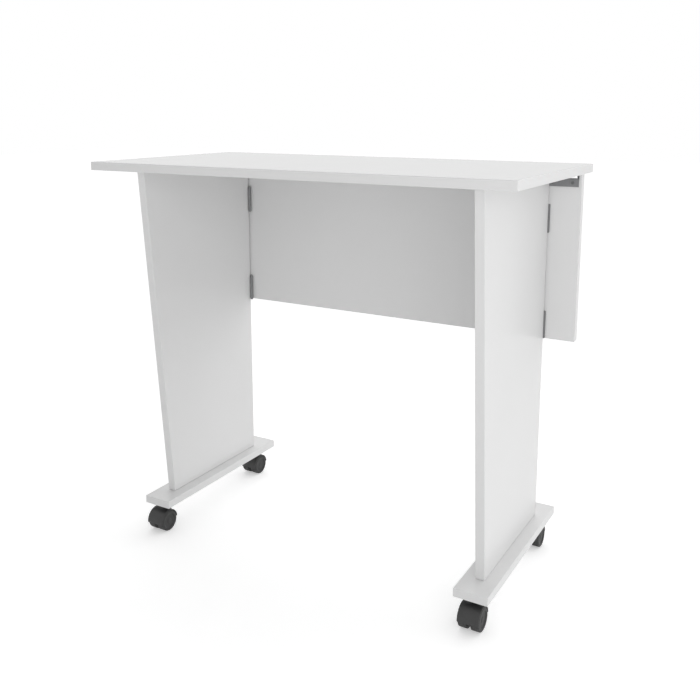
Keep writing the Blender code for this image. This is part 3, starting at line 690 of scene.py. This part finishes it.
class DESK_OT_stage(bpy.types.Operator):
    """Sets the white floor, the soft studio light and the camera"""

    bl_idname = "desk.stage"
    bl_label = "Stage"

    def execute(self, context):
        scene = context.scene
        scene.view_settings.view_transform = "Standard"
        self.add_floor(scene)
        self.add_world(scene)
        self.add_soft_box(scene)
        self.add_camera(scene)
        return {"FINISHED"}

    def add_floor(self, scene):
        """A plain pale floor, seen as white away from the desk's soft shadow."""
        paper = (0.9, 0.9, 0.9, 1)
        glow = (0.36, 0.36, 0.36, 1)
        half = scene.desk_sizes.floor / 2
        mesh = bpy.data.meshes.new("studio_floor")
        corners = [(-half, -half, 0), (half, -half, 0), (half, half, 0), (-half, half, 0)]
        mesh.from_pydata(corners, [], [(0, 1, 2, 3)])
        floor = bpy.data.objects.new("studio_floor", mesh)
        scene.collection.objects.link(floor)
        material = bpy.data.materials.new("studio_paper")
        material.use_nodes = True
        tree = material.node_tree
        tree.nodes.clear()
        diffuse = add_node(tree, "ShaderNodeBsdfDiffuse", {"Color": paper})
        lit = add_node(tree, "ShaderNodeEmission", {"Color": glow}, {"Strength": self.seen_rays(tree)})
        both = add_node(tree, "ShaderNodeAddShader", (), {0: diffuse.outputs[0], 1: lit.outputs[0]})
        add_node(tree, "ShaderNodeOutputMaterial", (), {"Surface": both.outputs[0]})
        mesh.materials.append(material)

    def seen_rays(self, tree):
        """1 for rays of the camera, of reflections and of glass, and 0 for rays that light the desk."""
        path = add_node(tree, "ShaderNodeLightPath").outputs
        seen = path["Is Camera Ray"]
        for kind in ("Is Glossy Ray", "Is Transmission Ray"):
            either = add_node(tree, "ShaderNodeMath", (), {0: seen, 1: path[kind]}, operation="MAXIMUM")
            seen = either.outputs[0]
        return seen

    def add_world(self, scene):
        """White where it is seen, and soft light on the desk, stronger the further back it comes from."""
        soft = {"To Min": 0.50, "To Max": 1.89}
        white = 1.0
        world = bpy.data.worlds.new("studio_white")
        world.use_nodes = True
        scene.world = world
        tree = world.node_tree
        way = add_node(tree, "ShaderNodeTexCoord").outputs["Generated"]
        back = add_node(tree, "ShaderNodeSeparateXYZ", (), {"Vector": way}).outputs["Y"]
        light = add_node(tree, "ShaderNodeMapRange", soft, {"Value": back}).outputs["Result"]
        background = tree.nodes["Background"].inputs
        background["Color"].default_value = (white, white, white, 1)
        between = {"Value": self.seen_rays(tree), "To Min": light}
        strength = {"Result": background["Strength"]}
        add_node(tree, "ShaderNodeMapRange", {"To Max": white}, between, strength)

    def add_soft_box(self, scene):
        """A square soft box to the right of the camera, turned to the desk's middle.

        It isn't mirrored, because its image would burn out the glossy tabletop in views from behind.
        """
        place = np.array([1.2, -1.3, 0.8])
        target = np.array([0, 0, 0.5])
        light = bpy.data.lights.new("key_right", "AREA")
        light.size = 1.2
        light.energy = 7.1
        lamp = bpy.data.objects.new("key_right", light)
        scene.collection.objects.link(lamp)
        lamp.location = place
        lamp.visible_glossy = False
        x, y, z = target - place
        lamp.rotation_euler = (math.atan2(math.hypot(x, y), -z), 0, math.atan2(y, x) - math.pi / 2)

    def add_camera(self, scene):
        """The photograph's view: lens, shift and place worked out from the desk's own straight edges."""
        camera = bpy.data.cameras.new("photo_camera")
        camera.sensor_width = 36
        camera.lens = 43.11
        camera.shift_x = -0.0040
        camera.shift_y = -0.1250
        camera.clip_end = 100
        eye = bpy.data.objects.new("photo_camera", camera)
        scene.collection.objects.link(eye)
        eye.location = (0.7661, -1.2879, 0.8207)
        eye.rotation_euler = (math.radians(79.54), 0, math.radians(29.81))
        scene.camera = eye


class DESK_PT_panel(bpy.types.Panel):
    """Lists the desk's steps, sizes and colours"""

    bl_label = "Folding desk"
    bl_idname = "DESK_PT_panel"
    bl_space_type = "VIEW_3D"
    bl_region_type = "UI"
    bl_category = "Desk"

    def draw(self, context):
        for step in STEPS:
            self.layout.operator(step.bl_idname)
        for group in (context.scene.desk_finish, context.scene.desk_sizes):
            for name in group.__annotations__:
                self.layout.prop(group, name)


STEPS = (DESK_OT_boards, DESK_OT_hinges, DESK_OT_screws, DESK_OT_casters, DESK_OT_stage)
CLASSES = (DeskFinish, DeskSizes, *STEPS, DESK_PT_panel)


def register():
    for item in CLASSES:
        bpy.utils.register_class(item)
    bpy.types.Scene.desk_finish = PointerProperty(type=DeskFinish)
    bpy.types.Scene.desk_sizes = PointerProperty(type=DeskSizes)


def unregister():
    del bpy.types.Scene.desk_sizes
    del bpy.types.Scene.desk_finish
    for item in reversed(CLASSES):
        bpy.utils.unregister_class(item)


def main():
    """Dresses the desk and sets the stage."""
    register()
    bpy.ops.desk.boards()
    bpy.ops.desk.hinges()
    bpy.ops.desk.screws()
    bpy.ops.desk.casters()
    bpy.ops.desk.stage()


if __name__ == "__main__":
    main()
